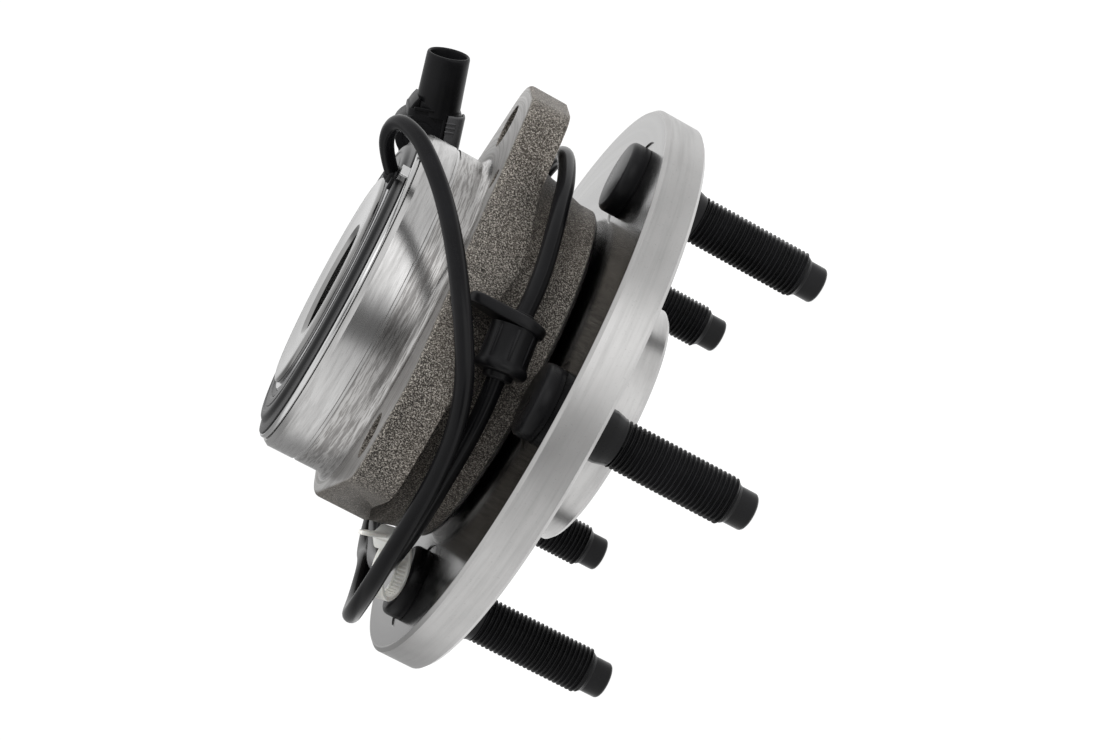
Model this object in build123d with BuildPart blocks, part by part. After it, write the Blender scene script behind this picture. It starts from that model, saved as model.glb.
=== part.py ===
from build123d import *
import math
import os

# ---------------------------------------------------------------------------
# Unitised front wheel hub bearing with a ring-type wheel-speed sensor and its
# lead.  Millimetres.  The origin is the centre of the wheel mounting face,
# +Z runs along the axis of rotation towards the knuckle (inboard), and the
# wheel studs point along -Z.  One stud lies on +X.
# ---------------------------------------------------------------------------

# wheel side
flange_r = 90.8            # hub flange outer radius
flange_t = 12.84           # hub flange thickness
flange_chamfer = 1.0
wheel_pilot_r = 38.9       # centres the wheel (77.8 bore)
wheel_pilot_len = 19.2
nut_recess_r = 30.0        # room for the axle nut
relief_r = 40.0            # shallow relief at the root of the nose
relief_z = 0.4
stud_pitch_r = 69.85       # 5 x 139.7
stud_count = 5
stud_thread_r = 7.14       # 9/16-18
stud_knurl_r = 8.0
stud_tip_z = -51.7
stud_head_r = 11.0
stud_head_t = 5.4
spotface_r = 13.4
spotface_depth = 0.4

# bearing
ball_r = 7.5
ball_count = 14
pitch_r = 38.5             # radius of the ball centres
row_out_z = 27.0           # outboard row of balls
row_in_z = 57.0            # inboard row of balls
groove_r = 7.6
shoulder_r = 35.6          # hub shoulder beside the outboard row
core_r = 30.97             # hub between the rows
spigot_r = 27.5            # seat of the inner ring
spigot_z = 43.0
inner_ring_end_z = 73.6
inner_shoulder_r = 36.2
collar_r = 34.0            # formed end of the hub, over the inner ring
collar_z = 75.4
spline_minor_r = 15.6
spline_major_r = 17.0
spline_teeth = 30
lead_in_r = 17.3

# outer ring
barrel_r = 54.8
barrel_z = 14.7
web_r = 58.3               # mounting flange between the bolt lugs
ring_wall_r = 56.0         # the flange is built onto the ring outside this radius
web_z0 = 30.0
lug_z0, lug_z1 = 37.0, 49.5
lug_hole_pitch_r = 65.0    # 3 x 130
lug_hole_r = 7.0
lug_r = 14.1
lug_a0 = 92.5              # first lug, degrees from +X
pilot_r = 51.8             # fits the knuckle bore
pilot_end_z = 69.7
bore_r = 46.4
land_r = 42.07

# sensor end
cap_r = 50.3
cap_top_z = 71.4
ring_top_z = 73.8
lead_d = 5.3

os.makedirs("parts", exist_ok=True)


def polar(r, a):
    return (r * math.cos(math.radians(a)), r * math.sin(math.radians(a)))


small_hole = polar(57.0, 57.5)


def write(name, part):
    part.label = name
    export_step(part, f"parts/{name}.step")
    print(f"{name}: {len(part.solids())} solids, {part.volume:.0f} mm3")


# ---------------------------------------------------------------------------
# wheel hub: flange, wheel pilot, outboard race, splined bore, formed collar
# ---------------------------------------------------------------------------
g0 = (pitch_r - groove_r * math.cos(math.radians(62)), row_out_z - groove_r * math.sin(math.radians(62)))
g1 = (pitch_r - groove_r, row_out_z)
g2 = (pitch_r - groove_r * math.cos(math.radians(8)), row_out_z + groove_r * math.sin(math.radians(8)))
with BuildPart() as wheel_hub:
    with BuildSketch(Plane.XZ):
        with BuildLine():
            Polyline(
                (spline_minor_r + 1.0, relief_z),
                (relief_r, relief_z),
                (relief_r, 0.0),
                (flange_r - flange_chamfer, 0.0),
                (flange_r, flange_chamfer),
                (flange_r, flange_t - flange_chamfer),
                (flange_r - flange_chamfer, flange_t),
                (44.0, flange_t),
                (38.6, flange_t + 0.5),
            )
            ThreePointArc((38.6, flange_t + 0.5), (36.5, flange_t + 1.5), (shoulder_r, flange_t + 3.4))
            Polyline((shoulder_r, flange_t + 3.4), (shoulder_r, 19.9), g0)
            ThreePointArc(g0, (pitch_r - groove_r * math.cos(math.radians(27)), row_out_z - groove_r * math.sin(math.radians(27))), g2)
            Polyline(
                g2,
                (core_r, g2[1] + 0.2),
                (core_r, spigot_z),
                (spigot_r, spigot_z),
                (spigot_r, inner_ring_end_z),
                (collar_r - 0.3, inner_ring_end_z),
            )
            ThreePointArc(
                (collar_r - 0.3, inner_ring_end_z),
                (collar_r, inner_ring_end_z + 0.8),
                (collar_r - 0.7, collar_z - 0.15),
            )
            Polyline(
                (collar_r - 0.7, collar_z - 0.15),
                (collar_r - 1.4, collar_z),
                (24.0, collar_z - 0.6),
                (lead_in_r + 1.2, collar_z - 0.9),
                (lead_in_r, collar_z - 2.1),
                (lead_in_r, 66.0),
                (spline_minor_r, 65.0),
                (spline_minor_r, relief_z + 1.0),
                (spline_minor_r + 1.0, relief_z),
            )
        make_face()
    revolve(axis=Axis.Z)
    # stud holes and the spot faces their heads sit on
    with BuildSketch(Plane.XY.offset(-1)):
        with PolarLocations(stud_pitch_r, stud_count):
            Circle(stud_knurl_r)
    extrude(amount=flange_t + 2, mode=Mode.SUBTRACT)
    with BuildSketch(Plane.XY.offset(flange_t - spotface_depth)):
        with PolarLocations(stud_pitch_r, stud_count):
            Circle(spotface_r)
    extrude(amount=spotface_depth + 0.3, mode=Mode.SUBTRACT)
    # internal spline for the drive shaft
    with BuildSketch(Plane.XY.offset(-1)):
        with PolarLocations((spline_minor_r + spline_major_r) / 2 - 0.3, spline_teeth):
            Rectangle(spline_major_r - spline_minor_r + 0.6, 1.6)
    extrude(amount=67.0, mode=Mode.SUBTRACT)
write("wheel_hub", wheel_hub.part)

# nose of the forging: the wheel locates on its outside, the axle nut sits inside
with BuildPart() as wheel_nose:
    with BuildSketch(Plane.XZ):
        with BuildLine():
            Polyline(
                (nut_recess_r + 0.8, -wheel_pilot_len),
                (wheel_pilot_r - 1.0, -wheel_pilot_len),
                (wheel_pilot_r, -wheel_pilot_len + 1.0),
                (wheel_pilot_r, relief_z),
                (nut_recess_r, relief_z),
                (nut_recess_r, -wheel_pilot_len + 0.8),
                close=True,
            )
        make_face()
    revolve(axis=Axis.Z)
write("wheel_nose", wheel_nose.part)

# wheel studs, pressed through the flange from the inboard side
head_z = flange_t - spotface_depth
with BuildPart() as wheel_studs:
    with BuildSketch(Plane.XZ) as stud_profile:
        with BuildLine():
            Polyline(
                (0, stud_tip_z),
                (4.2, stud_tip_z),
                (5.6, stud_tip_z + 1.4),
                (5.6, stud_tip_z + 6.0),
                (stud_thread_r - 0.4, stud_tip_z + 6.8),
                (stud_thread_r, stud_tip_z + 7.6),
                (stud_thread_r, -8.2),
                (stud_knurl_r - 0.1, -5.6),
                (stud_knurl_r - 0.1, 0.4),
                (stud_knurl_r, 0.5),
                (stud_knurl_r, head_z),
                (stud_head_r, head_z),
                (stud_head_r, head_z + stud_head_t - 1.2),
                (stud_head_r - 1.2, head_z + stud_head_t),
                (0, head_z + stud_head_t),
                close=True,
            )
        make_face()
    revolve(axis=Axis.Z)
one_stud = wheel_studs.part
with BuildPart() as stud_set:
    with PolarLocations(stud_pitch_r, stud_count):
        add(one_stud)
write("wheel_studs", stud_set.part)

# separate inboard inner ring, held by the formed collar
h0 = (pitch_r - groove_r * math.cos(math.radians(8)), row_in_z - groove_r * math.sin(math.radians(8)))
h1 = (pitch_r - groove_r * math.cos(math.radians(27)), row_in_z + groove_r * math.sin(math.radians(27)))
h2 = (pitch_r - groove_r * math.cos(math.radians(62)), row_in_z + groove_r * math.sin(math.radians(62)))
with BuildPart() as inner_ring:
    with BuildSketch(Plane.XZ):
        with BuildLine():
            Polyline((spigot_r, spigot_z), (core_r, spigot_z), (core_r, h0[1] - 0.2), h0)
            ThreePointArc(h0, h1, h2)
            Polyline(
                h2,
                (inner_shoulder_r, h2[1] + 0.7),
                (inner_shoulder_r, inner_ring_end_z - 0.6),
                (inner_shoulder_r - 0.6, inner_ring_end_z),
                (spigot_r, inner_ring_end_z),
                (spigot_r, spigot_z),
            )
        make_face()
    revolve(axis=Axis.Z)
write("inner_ring", inner_ring.part)

# ---------------------------------------------------------------------------
# outer ring: barrel, three-lug mounting flange, knuckle pilot, two races
# ---------------------------------------------------------------------------
k0 = (pitch_r + groove_r * math.cos(math.radians(8)), row_out_z - groove_r * math.sin(math.radians(8)))
k1 = (pitch_r + groove_r * math.cos(math.radians(27)), row_out_z + groove_r * math.sin(math.radians(27)))
k2 = (pitch_r + groove_r * math.cos(math.radians(62)), row_out_z + groove_r * math.sin(math.radians(62)))
m0 = (k0[0], row_in_z + row_out_z - k0[1])
m1 = (k1[0], row_in_z + row_out_z - k1[1])
m2 = (k2[0], row_in_z + row_out_z - k2[1])

lug = [polar(lug_hole_pitch_r, lug_a0 - 120 * k) for k in range(3)]
# the two lugs that face each other across the lead have a broad shoulder
shoulder_a = polar(63.0, lug_a0 - 16.0)
shoulder_b = polar(63.0, lug_a0 - 120 + 16.0)


def wedge(c, r, a, spread):
    """Outline from the web circle to a lug circle: a polygon along both flanks."""
    d = math.hypot(*c)
    al = math.degrees(math.acos((web_r - r) / d))
    out = []
    for s in (-1, 1):
        n = a + s * al
        out.append((c[0] + r * math.cos(math.radians(n)), c[1] + r * math.sin(math.radians(n))))
        out.append((web_r * math.cos(math.radians(n)), web_r * math.sin(math.radians(n))))
    return [out[0], out[1], (0, 0), out[3], out[2]]


def hull2(c1, c2, r):
    """Strip between two equal circles."""
    dx, dy = c2[0] - c1[0], c2[1] - c1[1]
    d = math.hypot(dx, dy)
    nx, ny = -dy / d * r, dx / d * r
    return [
        (c1[0] + nx, c1[1] + ny),
        (c2[0] + nx, c2[1] + ny),
        (c2[0] - nx, c2[1] - ny),
        (c1[0] - nx, c1[1] - ny),
    ]


# outside of the ring: barrel, seat of the mounting flange, register for the knuckle
with BuildPart() as ring_outside:
    with BuildSketch(Plane.XZ):
        with BuildLine():
            Polyline(
                (0, barrel_z),
                (barrel_r - 1.0, barrel_z),
                (barrel_r, barrel_z + 1.0),
                (barrel_r, 20.0),
                (57.4, web_z0),
                (ring_wall_r, web_z0),
                (ring_wall_r, lug_z1 - 1.2),
                (ring_wall_r - 1.0, lug_z1),
            )
            ThreePointArc((ring_wall_r - 1.0, lug_z1), (pilot_r + 0.95, lug_z1 + 0.55), (pilot_r, lug_z1 + 2.4))
            Polyline(
                (pilot_r, lug_z1 + 2.4),
                (pilot_r, 59.0),
                (pilot_r - 0.35, 59.3),
                (pilot_r - 0.35, 60.0),
                (pilot_r, 60.3),
                (pilot_r, pilot_end_z - 1.5),
                (pilot_r - 1.0, pilot_end_z),
                (0, pilot_end_z),
                (0, barrel_z),
            )
        make_face()
    revolve(axis=Axis.Z)

with BuildPart() as lug_plate:
    with BuildSketch(Plane.XY.offset(18.0)) as outline:
        Circle(web_r)
        for k, c in enumerate(lug):
            with Locations(c):
                Circle(lug_r)
            with BuildLine():
                Polyline(*wedge(c, lug_r, lug_a0 - 120 * k, 0), close=True)
            make_face()
        for c, near, a in ((shoulder_a, lug[0], lug_a0 - 16.0), (shoulder_b, lug[1], lug_a0 - 104.0)):
            with Locations(c):
                Circle(lug_r)
            with BuildLine():
                Polyline(*wedge(c, lug_r, a, 0), close=True)
            make_face()
            with BuildLine():
                Polyline(*hull2(c, near, lug_r), close=True)
            make_face()
    extrude(amount=lug_z1 - 18.0)
    top_edges = lug_plate.edges().filter_by(lambda e: abs(e.center().Z - lug_z1) < 1e-3)
    fillet(top_edges, 1.6)
    # the barrel swells into the lugs; this keeps only what lies under that curve
    with BuildSketch(Plane.XZ):
        with BuildLine():
            Polyline((0, 18.0), (barrel_r, 18.0), (barrel_r, 20.0), (57.4, 30.0))
            ThreePointArc((57.4, 30.0), (59.6, 34.9), (65.0, lug_z0))
            Polyline((65.0, lug_z0), (100.0, lug_z0 + 0.3), (100.0, 60.0), (0, 60.0), (0, 18.0))
        make_face()
    revolve(axis=Axis.Z, mode=Mode.INTERSECT)
    # hollow in the flange's outboard side where the lead crosses it
    pocket = Plane(origin=(0, 0, 0), x_dir=(-math.sin(math.radians(32.5)), math.cos(math.radians(32.5)), 0), z_dir=(math.cos(math.radians(32.5)), math.sin(math.radians(32.5)), 0))
    with BuildSketch(pocket.offset(40.0)):
        with BuildLine():
            Polyline((-19.0, 20.0), (-19.0, 48.2), (-21.5, 48.6), (-44.0, 36.9), (-44.0, 20.0), close=True)
        make_face()
    extrude(amount=60.0, mode=Mode.SUBTRACT)

    # threaded holes from the knuckle side, drawn plain, and a small blind hole
    with BuildSketch(Plane.XY.offset(lug_z0 - 1.4)):
        with Locations(*lug):
            Circle(lug_hole_r)
    extrude(amount=lug_z1 - lug_z0 + 6, mode=Mode.SUBTRACT)
    with BuildSketch(Plane.XY.offset(lug_z1 - 7)):
        with Locations(small_hole):
            Circle(3.2)
    extrude(amount=9, mode=Mode.SUBTRACT)
    # room for the ring, whose chamfer the flange fills
    with BuildSketch(Plane.XZ):
        with BuildLine():
            Polyline(
                (0, 5.0),
                (120.0, 5.0),
                (120.0, web_z0),
                (ring_wall_r, web_z0),
                (ring_wall_r, lug_z1 - 1.2),
                (ring_wall_r - 1.5, lug_z1 + 0.6),
                (0, lug_z1 + 0.6),
                close=True,
            )
        make_face()
    revolve(axis=Axis.Z, mode=Mode.SUBTRACT)
write("knuckle_flange", lug_plate.part)

with BuildPart() as outer_ring:
    add(ring_outside.part)
    # races, land and seal bores
    with BuildSketch(Plane.XZ):
        with BuildLine():
            Polyline((0, barrel_z - 1), (bore_r, barrel_z - 1), (bore_r, k0[1] - 1.2), k0)
            ThreePointArc(k0, k1, k2)
            Line(k2, m2)
            ThreePointArc(m2, m1, m0)
            Polyline(m0, (bore_r, m0[1] + 1.2), (bore_r, pilot_end_z + 1), (0, pilot_end_z + 1), (0, barrel_z - 1))
        make_face()
    revolve(axis=Axis.Z, mode=Mode.SUBTRACT)
    with BuildSketch(Plane.XY.offset(lug_z1 - 7)):
        with Locations(small_hole):
            Circle(3.2)
    extrude(amount=9, mode=Mode.SUBTRACT)
write("outer_ring", outer_ring.part)

# ---------------------------------------------------------------------------
# rolling parts
# ---------------------------------------------------------------------------
cage_open = 4.4            # cage reach towards the seal, from the ball centres
cage_closed = 9.0          # reach of its solid side, towards the middle


def ball_row(z):
    with BuildPart() as balls:
        with PolarLocations(pitch_r, ball_count, start_angle=4.0):
            with Locations((0, 0, z)):
                Sphere(ball_r)
    return balls.part


def cage(z, inward):
    with BuildPart() as ring:
        with BuildSketch(Plane.XZ):
            with BuildLine():
                Polyline(
                    (36.6, z - inward * cage_open),
                    (40.6, z - inward * cage_open),
                    (40.6, z + inward * cage_closed),
                    (36.6, z + inward * cage_closed),
                    close=True,
                )
            make_face()
        revolve(axis=Axis.Z)
        with PolarLocations(pitch_r, ball_count, start_angle=4.0):
            with Locations((0, 0, z)):
                Sphere(ball_r + 0.12, mode=Mode.SUBTRACT)
    return ring.part


write("outboard_balls", ball_row(row_out_z))
write("inboard_balls", ball_row(row_in_z))
write("outboard_cage", cage(row_out_z, 1))
write("inboard_cage", cage(row_in_z, -1))

# ---------------------------------------------------------------------------
# seals
# ---------------------------------------------------------------------------


def ring_of(points):
    with BuildPart() as ring:
        with BuildSketch(Plane.XZ):
            with BuildLine():
                Polyline(*points, close=True)
            make_face()
        revolve(axis=Axis.Z)
    return ring.part


write("outboard_seal_case", ring_of([
    (bore_r, 15.1), (bore_r, 18.6), (bore_r - 1.1, 18.6), (bore_r - 1.1, 16.2), (40.4, 16.2), (40.4, 15.1)]))
write("outboard_seal_lip", ring_of([
    (40.4, 15.1), (40.4, 16.2), (bore_r - 1.1, 16.2), (bore_r - 1.1, 17.0), (40.0, 17.0),
    (37.4, 18.9), (shoulder_r + 0.08, 18.9), (shoulder_r + 0.08, 18.4), (37.0, 16.6), (39.6, 15.1)]))

# ---------------------------------------------------------------------------
# speed sensor: pressed steel cap, moulded sensor ring, winding, toothed ring
# ---------------------------------------------------------------------------
write("sensor_cap", ring_of([
    (bore_r - 1.0, 66.4), (bore_r, 66.4), (bore_r, pilot_end_z), (cap_r - 0.3, pilot_end_z), (cap_r, pilot_end_z + 0.3),
    (cap_r, cap_top_z - 0.4), (cap_r - 0.4, cap_top_z), (bore_r - 1.0, cap_top_z)]))
sensor_ring = ring_of([
    (bore_r - 1.0, 66.4), (bore_r - 1.0, cap_top_z), (49.4, cap_top_z), (49.6, cap_top_z + 0.2), (49.2, 71.9), (46.6, 72.5), (45.6, 73.3), (44.2, ring_top_z), (39.0, ring_top_z),
    (38.2, ring_top_z - 0.6), (38.2, 72.4), (39.6, 72.4), (39.6, 72.0), (44.0, 72.0), (44.0, 67.6), (40.2, 67.6), (39.2, 67.6),
    (39.2, 66.4)])
write("sensor_ring", sensor_ring)
write("sensor_coil", ring_of([(40.2, 67.7), (43.9, 67.7), (43.9, 71.9), (40.2, 71.9)]))
write("inboard_seal_lip", ring_of([
    (38.2, 72.5), (38.2, 73.5), (37.6, 73.5), (inner_shoulder_r + 0.08, 73.1), (inner_shoulder_r + 0.08, 72.7), (37.6, 72.5)]))

with BuildPart() as tone_ring:
    with BuildSketch(Plane.XY.offset(66.5)):
        Circle(38.3)
        with PolarLocations(38.3, 47):
            Rectangle(1.6, 2.4, mode=Mode.SUBTRACT)
        Circle(inner_shoulder_r, mode=Mode.SUBTRACT)
    extrude(amount=5.2)
write("tone_ring", tone_ring.part)

# moulded lead outlet standing on the sensor ring, and the crimped bracket over it
exit_a = 57.0
ex, ey = polar(42.0, exit_a)
outlet_plane = Plane(origin=(ex, ey, ring_top_z), x_dir=(math.cos(math.radians(exit_a)), math.sin(math.radians(exit_a)), 0), z_dir=(0, 0, 1))
with BuildPart() as lead_outlet:
    with BuildSketch(outlet_plane.offset(0)):
        with Locations((-0.4, 0)):
            RectangleRounded(4.8, 9.0, 2.0)
    extrude(amount=0.9)
    with BuildSketch(outlet_plane.offset(0.9)):
        with Locations((-0.4, 1.2)):
            RectangleRounded(4.2, 6.0, 1.6)
    extrude(amount=1.0)
write("lead_outlet", lead_outlet.part)

# steel clip that holds the outlet: one tab on the cap's face, one on its rim
with BuildPart() as outlet_tabs:
    tx, ty = polar(48.2, 50.0)
    face_tab = Plane(origin=(tx, ty, cap_top_z), x_dir=(math.cos(math.radians(50.0)), math.sin(math.radians(50.0)), 0), z_dir=(0, 0, 1))
    with BuildSketch(face_tab):
        with Locations((0.3, 0)):
            RectangleRounded(2.8, 4.6, 0.6)
    extrude(amount=2.4)
    add(sensor_ring, mode=Mode.SUBTRACT)
    rx, ry = polar(cap_r, 62.5)
    rim_tab = Plane(origin=(rx, ry, 70.6), x_dir=(-math.sin(math.radians(62.5)), math.cos(math.radians(62.5)), 0), z_dir=(math.cos(math.radians(62.5)), math.sin(math.radians(62.5)), 0))
    with BuildSketch(rim_tab.offset(0.0)):
        RectangleRounded(6.4, 1.4, 0.4)
    extrude(amount=0.9)
write("outlet_tabs", outlet_tabs.part)

# ---------------------------------------------------------------------------
# sensor lead: the points below are the corners of its route
# ---------------------------------------------------------------------------
route = [
    (21.9, 35.8, 74.7), (24.1, 39.1, 78.3), (31.3, 44.7, 82.3), (40.1, 49.7, 81.7), (49.1, 47.9, 75.4),
    (55.1, 42.8, 69.2), (60.0, 35.7, 61.9), (66.0, 25.9, 54.2), (73.5, 14.4, 47.0), (77.0, 3.3, 40.3),
    (78.0, -7.0, 35.2), (76.0, -19.3, 31.6), (72.0, -33.7, 30.1), (68.5, -45.5, 30.0), (65.0, -57.2, 30.2),
    (59.5, -67.3, 29.9), (47.5, -76.6, 28.8), (30.0, -81.3, 26.4), (13.0, -78.6, 24.5), (1.0, -69.6, 25.1),
    (-19.0, -70.0, 24.3), (-40.0, -60.5, 24.6), (-60.0, -41.0, 25.0), (-71.0, -14.0, 25.6), (-69.0, 17.0, 26.6),
    (-53.0, 46.0, 28.5), (-27.7, 61.4, 29.6), (0.3, 67.2, 31.1), (24.2, 58.5, 30.1), (37.0, 49.9, 29.9),
    (47.5, 40.7, 29.2), (55.5, 30.8, 28.3), (62.0, 21.5, 28.4), (66.0, 13.1, 29.2), (67.6, 7.0, 28.9),
    (68.0, 1.4, 28.1), (67.5, -6.7, 27.0), (66.0, -17.6, 26.4), (62.0, -29.2, 26.2), (57.0, -40.9, 25.9),
    (50.7, -51.1, 25.6), (36.9, -64.2, 25.5), (18.0, -65.8, 25.7), (-2.0, -64.0, 24.6), (-22.0, -60.0, 25.0),
    (-41.0, -49.5, 25.7), (-56.0, -31.0, 27.5), (-64.5, -9.0, 32.0), (-66.0, 12.0, 41.0), (-60.0, 27.5, 50.6),
    (-47.604, 37.579, 59.548), (-44.58, 46.651, 62.471),
]


def vec(a, b):
    return [b[k] - a[k] for k in range(3)]


def size(v):
    return math.sqrt(sum(c * c for c in v))


radii = []
for k in range(1, len(route) - 1):
    a, b = vec(route[k - 1], route[k]), vec(route[k], route[k + 1])
    turn = math.acos(sum(a[i] * b[i] for i in range(3)) / size(a) / size(b))
    radii.append(0.45 * min(size(a), size(b)) / math.tan(turn / 2))
print("lead corner radii, mm:", [round(r, 1) for r in radii])

with BuildPart() as sensor_lead:
    with BuildLine() as lead_path:
        FilletPolyline(*route, radius=radii)
    with BuildSketch(Plane(origin=route[0], z_dir=vec(route[0], route[1]))):
        Circle(lead_d / 2)
    sweep(path=lead_path.line)
lead_len = sum(e.length for e in lead_path.line.edges())
print("lead length along the tube, mm:", round(lead_len, 1), "volume ratio:", round(sensor_lead.part.volume / (lead_len * math.pi * lead_d ** 2 / 4), 4))
write("sensor_lead", sensor_lead.part)

# rubber grommet moulded round the lead: oval flange, waist, round flange
grommet_axis = (-0.168, 0.9815, 0.0923)
with BuildPart() as lead_grommet:
    low = Plane(origin=(68.3, 2.9, 28.3), x_dir=(0.0156, -0.091, 0.9957), z_dir=grommet_axis)
    with BuildSketch(low.offset(-3.2)):
        Circle(4.3)
    extrude(amount=3.2)
    with BuildSketch(low.offset(-1.3)):
        Circle(7.6)
    extrude(amount=2.6)
    with BuildSketch(low.offset(1.3)):
        Circle(6.6)
    extrude(amount=10.6)
    tilt = Plane(origin=(66.27, 14.4, 29.35), x_dir=(-0.0061, 0.0363, 0.9993), z_dir=(-0.1686, 0.985, -0.0368))
    with BuildSketch(tilt):
        Circle(7.8)
        with Locations((10.2, 0)):
            Circle(5.2)
        with BuildLine():
            Polyline((0, 7.8), (11.4, 5.0), (11.4, -5.0), (0, -7.8), close=True)
        make_face()
    extrude(amount=3.4)
    with BuildSketch(low.offset(13.9)):
        Circle(4.2)
    extrude(amount=2.2)
    with BuildSketch(low.offset(-4.0)):
        Circle(lead_d / 2)
    extrude(amount=24, mode=Mode.SUBTRACT)
write("lead_grommet", lead_grommet.part)

# ---------------------------------------------------------------------------
# two-way connector on the end of the lead
# ---------------------------------------------------------------------------
conn_axis = (0.3024, 0.9072, 0.2923)
conn_base = (-43.37, 50.28, 63.64)
conn_socket_r = 5.7
conn_len = 30.3
conn = Plane(origin=conn_base, x_dir=(-0.0477, 0.3209, -0.9459), z_dir=conn_axis)
conn_y = (-0.9519, 0.2721, 0.1403)
# round boss of the rear housing, its axis square to the barrel
boss = Plane(origin=tuple(conn_base[k] - 4.8 * (-0.0477, 0.3209, -0.9459)[k] + 4.0 * conn_axis[k] - 6.6 * conn_y[k] for k in range(3)), x_dir=conn_axis, z_dir=conn_y)

with BuildPart() as connector_body:
    with Locations(conn.offset(11.0)):
        Cone(7.2, 6.8, conn_len - 11.0, align=(Align.CENTER, Align.CENTER, Align.MIN))
    with BuildSketch(conn.offset(-4.0)):
        with Locations((-0.85, 0)):
            RectangleRounded(17.3, 12.9, 2.6)
    extrude(amount=16.8)
    with BuildSketch(conn.offset(12.8)):
        with Locations((-0.6, 0)):
            RectangleRounded(14.8, 12.0, 5.0)
    extrude(amount=2.2)
    with BuildSketch(boss):
        Circle(7.4)
    extrude(amount=13.2)
    with BuildSketch(conn.offset(22.8)):
        Circle(conn_socket_r)
    extrude(amount=conn_len, mode=Mode.SUBTRACT)
    with BuildSketch(conn.offset(16.0)):
        Circle(conn_socket_r - 0.5)
    extrude(amount=8.0, mode=Mode.SUBTRACT)
write("connector_body", connector_body.part)

with BuildPart() as connector_terminals:
    for y in (-1.9, 1.9):
        with BuildSketch(conn.offset(16.0)):
            with Locations((0, y)):
                Rectangle(1.5, 0.7)
        extrude(amount=6.3)
write("connector_terminals", connector_terminals.part)

with BuildPart() as connector_seal:
    with BuildSketch(conn.offset(16.0)):
        Circle(conn_socket_r - 0.5)
        Circle(conn_socket_r - 1.5, mode=Mode.SUBTRACT)
    extrude(amount=2.0)
write("connector_seal", connector_seal.part)

# locking slide, bent round one corner of the rear housing
with BuildPart() as connector_lock:
    with BuildSketch(conn.offset(1.0)):
        with Locations((-0.85, 0)):
            RectangleRounded(19.1, 14.7, 3.5)
            RectangleRounded(17.3, 12.9, 2.6, mode=Mode.SUBTRACT)
        with Locations((6.2, -4.8)):
            Rectangle(6.4, 6.4, mode=Mode.INTERSECT)
    extrude(amount=11.5)
write("connector_lock", connector_lock.part)

with BuildPart() as connector_boot:
    with BuildSketch(conn.offset(-8.6)):
        Circle(4.0)
    with BuildSketch(conn.offset(-4.0)):
        Circle(4.7)
    loft()
    with BuildSketch(conn.offset(-9.0)):
        Circle(lead_d / 2)
    extrude(amount=6, mode=Mode.SUBTRACT)
write("connector_boot", connector_boot.part)

# ---------------------------------------------------------------------------
# cable tie hanging loosely on the lead
# ---------------------------------------------------------------------------
tie_axis = (0.608, 0.2157, -0.7641)
tie_up = (-0.0682, 0.9725, 0.2203)
tie_rx, tie_ry = 9.0, 7.1   # the strap has sprung into an oval
tie_w = 4.4
with BuildPart() as cable_tie:
    tie = Plane(origin=(41.77, -62.19, 24.39), x_dir=tie_up, z_dir=tie_axis)
    with BuildSketch(tie.offset(-tie_w / 2)):
        Ellipse(tie_rx, tie_ry)
        Ellipse(tie_rx - 1.2, tie_ry - 1.2, mode=Mode.SUBTRACT)
    extrude(amount=tie_w)
    with BuildSketch(tie.offset(-3.0)):
        with Locations(Location((8.6, 6.6, 0), (0, 0, 36))):
            RectangleRounded(5.6, 5.8, 0.8)
        Ellipse(tie_rx - 0.6, tie_ry - 0.6, mode=Mode.SUBTRACT)
    extrude(amount=6.0)
    # cut-off end of the strap, standing out of the head
    with BuildSketch(tie.offset(-2.1)):
        with Locations((9.4, 14.6)):
            Rectangle(1.2, 12.5)
    extrude(amount=4.2)
    # the head rests against the lead
    add(sensor_lead.part, mode=Mode.SUBTRACT)
write("cable_tie", cable_tie.part)
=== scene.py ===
import bpy, bmesh, math
from mathutils import Matrix, Vector


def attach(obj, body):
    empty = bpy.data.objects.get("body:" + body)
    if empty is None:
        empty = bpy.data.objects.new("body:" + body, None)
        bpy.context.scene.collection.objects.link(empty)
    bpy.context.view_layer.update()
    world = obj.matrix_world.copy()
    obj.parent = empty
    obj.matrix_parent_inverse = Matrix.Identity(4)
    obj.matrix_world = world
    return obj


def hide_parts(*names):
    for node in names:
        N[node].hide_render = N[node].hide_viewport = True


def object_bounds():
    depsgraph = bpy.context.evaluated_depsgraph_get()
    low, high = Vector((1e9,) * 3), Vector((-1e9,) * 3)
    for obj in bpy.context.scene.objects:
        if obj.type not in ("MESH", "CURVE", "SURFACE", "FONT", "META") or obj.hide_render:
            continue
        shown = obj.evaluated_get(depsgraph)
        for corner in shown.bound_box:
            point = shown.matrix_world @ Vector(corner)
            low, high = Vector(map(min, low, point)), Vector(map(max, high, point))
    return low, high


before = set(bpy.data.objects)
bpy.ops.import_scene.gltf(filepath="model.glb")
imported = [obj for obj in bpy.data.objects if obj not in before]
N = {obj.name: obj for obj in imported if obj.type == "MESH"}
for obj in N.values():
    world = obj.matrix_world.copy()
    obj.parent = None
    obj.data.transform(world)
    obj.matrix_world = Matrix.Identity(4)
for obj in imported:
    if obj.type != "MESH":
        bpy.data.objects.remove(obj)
cad_lo, cad_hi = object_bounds()
MM = 0.001

# ---------------------------------------------------------------- camera
cam_data = bpy.data.cameras.new("camera")
cam_data.sensor_width = 36.0
cam_data.lens = 71.10
cam_data.clip_start, cam_data.clip_end = 0.01, 50.0
cam = bpy.data.objects.new("camera", cam_data)
bpy.context.scene.collection.objects.link(cam)
cam.matrix_world = Matrix((
    (0.14795618, -0.11052084, 0.98279912, 0.64800),
    (0.47427214, 0.87994696, 0.02755495, 0.02580),
    (-0.8678565, 0.46203732, 0.18261054, 0.12267),
    (0, 0, 0, 1)))
bpy.context.scene.camera = cam

# ---------------------------------------------------------------- small helpers


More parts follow.
